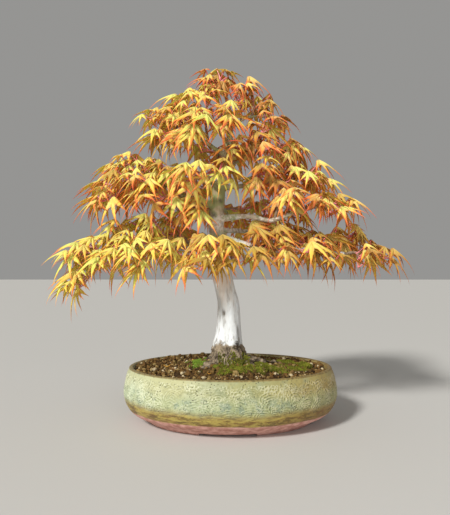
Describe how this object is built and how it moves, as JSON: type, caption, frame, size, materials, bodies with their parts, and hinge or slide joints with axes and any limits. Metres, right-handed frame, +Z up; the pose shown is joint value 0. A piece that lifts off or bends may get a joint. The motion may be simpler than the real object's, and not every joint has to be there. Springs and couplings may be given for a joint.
{
  "type": "japanese maple bonsai in its pot",
  "caption": "Small upright Japanese maple with layered pads of drooping lobed autumn leaves, a silvery trunk with surface roots, and granular soil in an oval glazed bonsai pot.",
  "frame": {"origin": "on the surface the pot stands on, under the middle of the whole bonsai's bounding box", "axes": "+Z up along the tree, front towards -Y, +X to the right seen from the front, along the pot's length"},
  "size_m": [0.4266, 0.2666, 0.4408],
  "materials": {
    "pot_glaze": "mottled celadon glaze over a bare reddish clay foot, satin",
    "soil": "baked clay grains with moss, matte",
    "bark": "silvery bark, rough at the root crown, matte",
    "leaf": "thin translucent yellow and orange leaves, satin",
    "screen": "moulded mesh, matte"
  },
  "bodies": {
    "root": {"pot": "pot_glaze", "soil": "soil", "trunk": "bark", "drain_screen_1": "screen", "drain_screen_2": "screen", "spray_low_left_1": "leaf", "spray_low_left_2": "leaf", "spray_low_left_3": "leaf", "spray_low_left_4": "leaf", "spray_low_left_5": "leaf", "spray_low_left_6": "leaf", "spray_low_left_7": "leaf", "spray_low_right_1": "leaf", "spray_low_right_2": "leaf", "spray_low_right_3": "leaf", "spray_low_right_4": "leaf", "spray_low_right_5": "leaf", "spray_low_right_6": "leaf", "spray_low_right_7": "leaf", "spray_low_front_1": "leaf", "spray_low_front_2": "leaf", "spray_low_front_3": "leaf", "spray_low_back_left_1": "leaf", "spray_low_back_left_2": "leaf", "spray_low_back_right_1": "leaf", "spray_low_back_right_2": "leaf", "spray_mid_left_1": "leaf", "spray_mid_left_2": "leaf", "spray_mid_left_3": "leaf", "spray_mid_left_4": "leaf", "spray_mid_left_5": "leaf", "spray_mid_left_6": "leaf", "spray_mid_left_7": "leaf", "spray_mid_right_1": "leaf", "spray_mid_right_2": "leaf", "spray_mid_right_3": "leaf", "spray_mid_right_4": "leaf", "spray_mid_right_5": "leaf", "spray_mid_back_1": "leaf", "spray_mid_back_2": "leaf", "spray_mid_front_1": "leaf", "spray_high_right_1": "leaf", "spray_high_right_2": "leaf", "spray_high_right_3": "leaf", "spray_high_right_4": "leaf", "spray_high_back_1": "leaf", "spray_up_left_1": "leaf", "spray_up_left_2": "leaf", "spray_up_left_3": "leaf", "spray_up_left_4": "leaf", "spray_up_right_1": "leaf", "spray_up_right_2": "leaf", "spray_up_right_3": "leaf", "spray_up_back_1": "leaf", "spray_up_front_1": "leaf", "spray_top_right_1": "leaf", "spray_top_right_2": "leaf", "spray_top_right_3": "leaf", "spray_apex_1": "leaf"}
  },
  "joints": []
}
